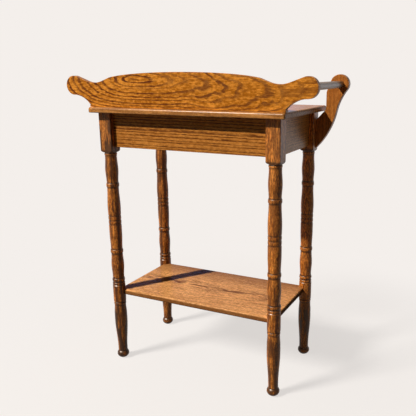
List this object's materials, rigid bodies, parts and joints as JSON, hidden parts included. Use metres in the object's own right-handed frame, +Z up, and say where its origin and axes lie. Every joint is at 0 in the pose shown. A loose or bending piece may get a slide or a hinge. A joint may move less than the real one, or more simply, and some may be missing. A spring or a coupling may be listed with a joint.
{
  "type": "washstand",
  "caption": "Small oak washstand with turned legs, a shelf, a drawer, a shaped backsplash and a towel bar at one end.",
  "frame": {"origin": "on the floor, in the middle of the four legs, under the centre of the bounding box", "axes": "+Z up, +Y towards the back with the backsplash, -Y the way the drawer opens, +X to the right as seen from the drawer's side"},
  "size_m": [0.7258, 0.332, 0.8544],
  "materials": {
    "golden_oak": "oak stained golden, satin varnish",
    "shelf_oak": "oak stained golden, satin varnish",
    "brown_oak": "turned oak stained brown, satin varnish",
    "apron_oak": "oak stained brown, satin varnish",
    "inner_pine": "bare softwood",
    "drawer_pine": "bare softwood, planed smooth",
    "screw_steel": "plain steel"
  },
  "bodies": {
    "stand": {"leg_back_left": "brown_oak", "leg_back_right": "brown_oak", "leg_front_left": "brown_oak", "leg_front_right": "brown_oak", "back_apron": "apron_oak", "side_apron_left": "apron_oak", "side_apron_right": "apron_oak", "front_rail_lower": "apron_oak", "front_rail_upper": "apron_oak", "top_board": "golden_oak", "shelf": "shelf_oak", "backsplash": "golden_oak", "towel_arm": "golden_oak", "towel_bar": "brown_oak", "arm_dowel_lower": "drawer_pine", "arm_dowel_upper": "drawer_pine", "backsplash_screw_left": "screw_steel", "backsplash_screw_middle": "screw_steel", "backsplash_screw_right": "screw_steel", "drawer_runner_left": "inner_pine", "drawer_runner_right": "inner_pine", "drawer_guide_left": "inner_pine", "drawer_guide_right": "inner_pine", "drawer_kicker_left": "inner_pine", "drawer_kicker_right": "inner_pine", "drawer_stop_left": "inner_pine", "drawer_stop_right": "inner_pine", "glue_block_back_left": "inner_pine", "glue_block_back_right": "inner_pine", "glue_block_side_left": "inner_pine", "glue_block_side_right": "inner_pine"},
    "drawer": {"drawer_front": "apron_oak", "drawer_side_left": "drawer_pine", "drawer_side_right": "drawer_pine", "drawer_back": "drawer_pine", "drawer_bottom": "drawer_pine", "knob_left": "brown_oak", "knob_right": "brown_oak", "knob_screw_left": "screw_steel", "knob_screw_right": "screw_steel"}
  },
  "joints": [
    {"name": "drawer_slide", "type": "slide", "parent": "stand", "child": "drawer", "axis": [0, -1, 0], "range_m": [0, 0.18]}
  ]
}
